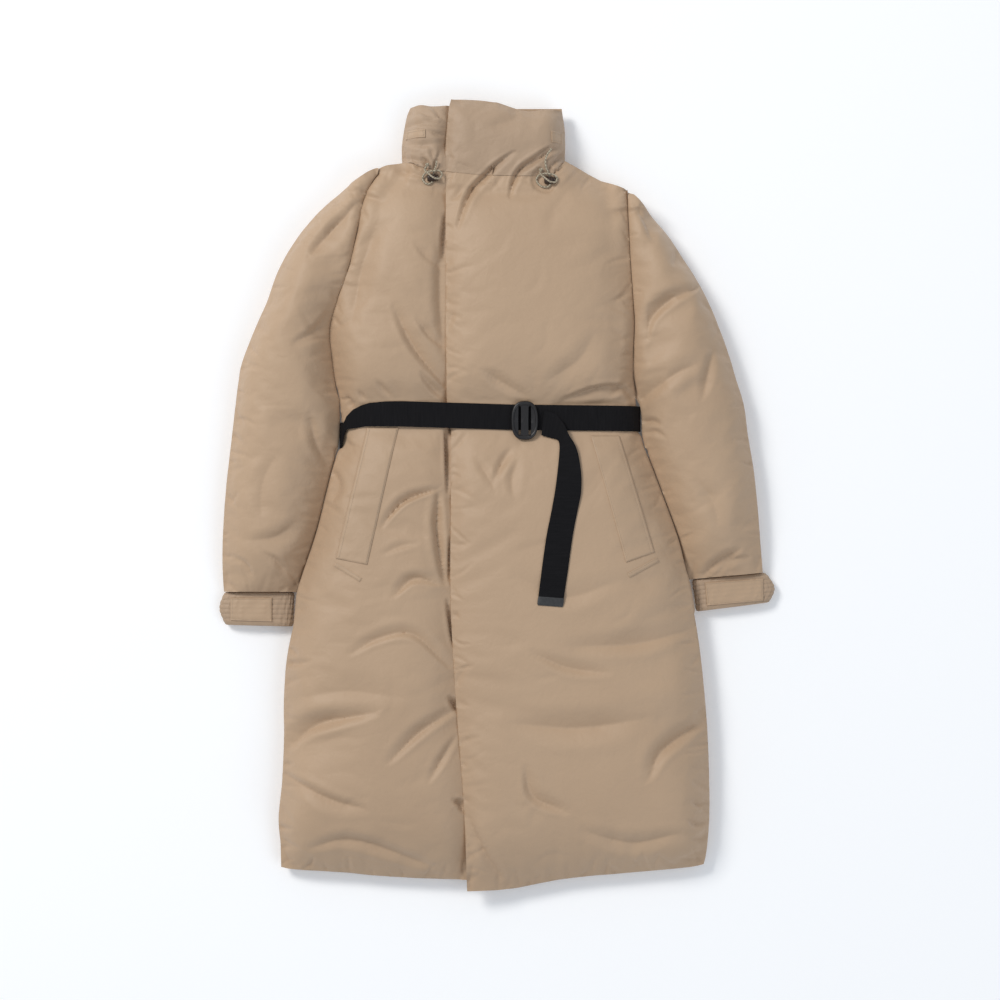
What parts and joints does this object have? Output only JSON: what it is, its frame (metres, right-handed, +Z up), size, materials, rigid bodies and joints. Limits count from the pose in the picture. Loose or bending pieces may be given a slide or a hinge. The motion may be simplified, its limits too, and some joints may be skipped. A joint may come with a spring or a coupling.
{
  "type": "long belted puffer coat laid flat",
  "caption": "Long down-filled coat with a stand collar, lapped front, slanted pockets and tabbed cuffs, closed with a webbing belt and laid flat on its back.",
  "frame": {"origin": "on the surface that the coat lies on, under the middle of its bounding box", "axes": "+Z up from that surface, +Y from the hem to the collar, +X towards the wearer's left side"},
  "size_m": [0.839, 1.1877, 0.0904],
  "materials": {
    "shell_cloth": "smooth tightly woven polyester shell over down, soft low sheen",
    "collar_cloth": "the same shell cloth on the firmer collar and cuffs, topstitched",
    "trim_cloth": "shell cloth folded flat and topstitched: welts, bars and tabs",
    "belt_webbing": "black ribbed webbing, matt",
    "black_plastic": "black moulded plastic, satin",
    "grey_tip": "dark grey moulded end of the belt",
    "lock_plastic": "dark brown moulded cord lock, satin",
    "cord_cloth": "beige braided elastic cord"
  },
  "bodies": {
    "root": {"back": "shell_cloth", "front_right": "shell_cloth", "front_left": "shell_cloth", "sleeve_right_under": "shell_cloth", "sleeve_right_top": "shell_cloth", "sleeve_left_under": "shell_cloth", "sleeve_left_top": "shell_cloth", "collar_back": "collar_cloth", "collar_right": "collar_cloth", "collar_left": "collar_cloth", "cuff_right": "collar_cloth", "cuff_left": "collar_cloth", "pocket_welt_right": "trim_cloth", "pocket_welt_left": "trim_cloth", "pocket_bar_right": "trim_cloth", "pocket_bar_left": "trim_cloth", "cuff_tab_right": "trim_cloth", "cuff_tab_left": "trim_cloth", "collar_tab_right": "trim_cloth", "collar_tab_left": "trim_cloth", "belt_strap": "belt_webbing", "belt_tail": "belt_webbing", "buckle": "black_plastic", "belt_tip": "grey_tip", "cord_lock_right": "lock_plastic", "cord_lock_left": "lock_plastic", "drawcord_right": "cord_cloth", "drawcord_left": "cord_cloth", "cord_knot_right": "cord_cloth", "cord_knot_left": "cord_cloth"}
  },
  "joints": []
}
